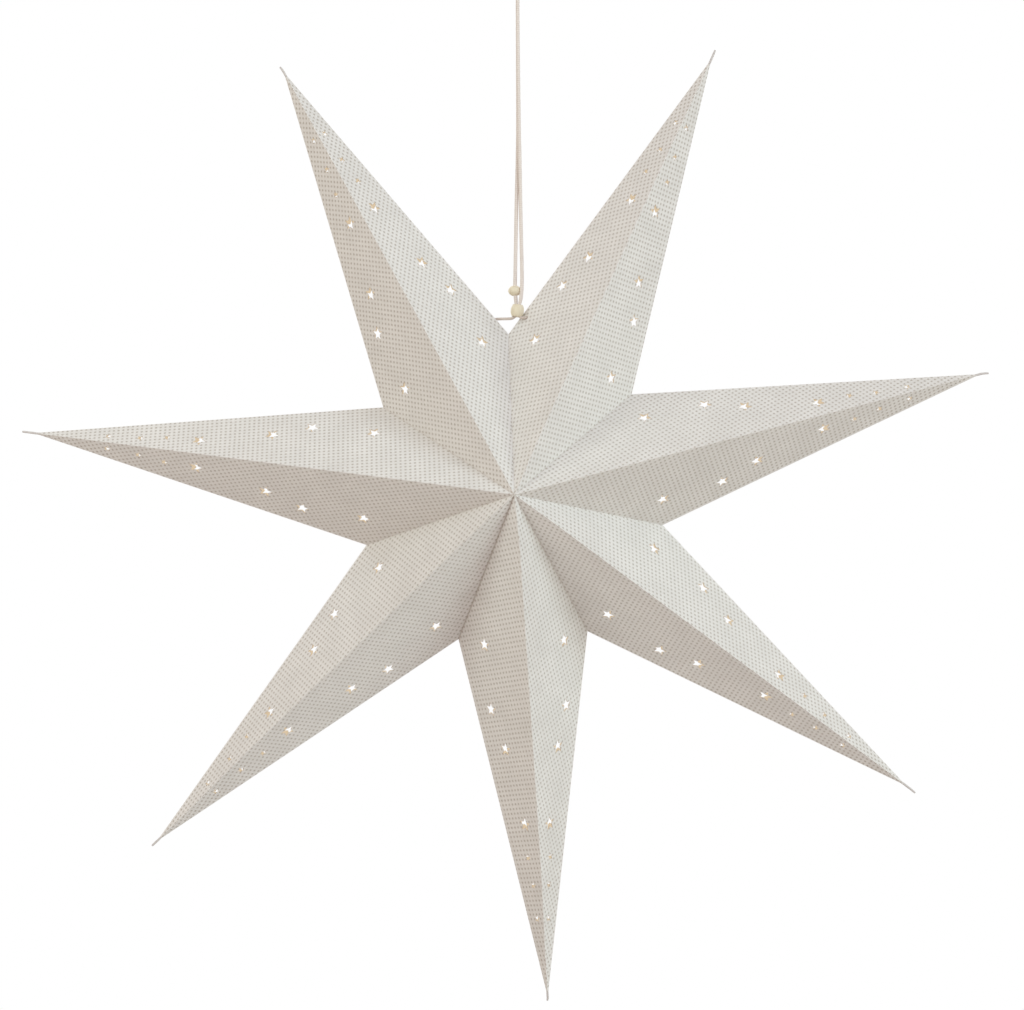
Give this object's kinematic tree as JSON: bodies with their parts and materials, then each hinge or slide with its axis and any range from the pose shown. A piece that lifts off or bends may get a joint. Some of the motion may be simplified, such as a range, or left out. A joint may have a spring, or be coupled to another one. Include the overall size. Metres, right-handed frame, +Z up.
{
  "type": "hanging paper star",
  "caption": "Hanging folded-paper star with long hollow points, small star cut-outs in every face, and a cotton loop closed by wooden beads.",
  "frame": {"origin": "under the top of the cord's loop, where the star hangs", "axes": "+Z up along the hanging cord, -Y to the front of the star, +X to the viewer's right"},
  "size_m": [0.594, 0.138, 0.648],
  "materials": {
    "printed_card": "matt, white with small grey-brown dots",
    "cotton_cord": "braided, off-white",
    "bead_wood": "turned, unvarnished"
  },
  "bodies": {
    "root": {"point_upper_left": "printed_card", "point_upper_right": "printed_card", "point_right": "printed_card", "point_lower_right": "printed_card", "point_bottom": "printed_card", "point_lower_left": "printed_card", "point_left": "printed_card", "hanging_cord": "cotton_cord", "cord_bead": "bead_wood", "closing_bead": "bead_wood"}
  },
  "joints": []
}
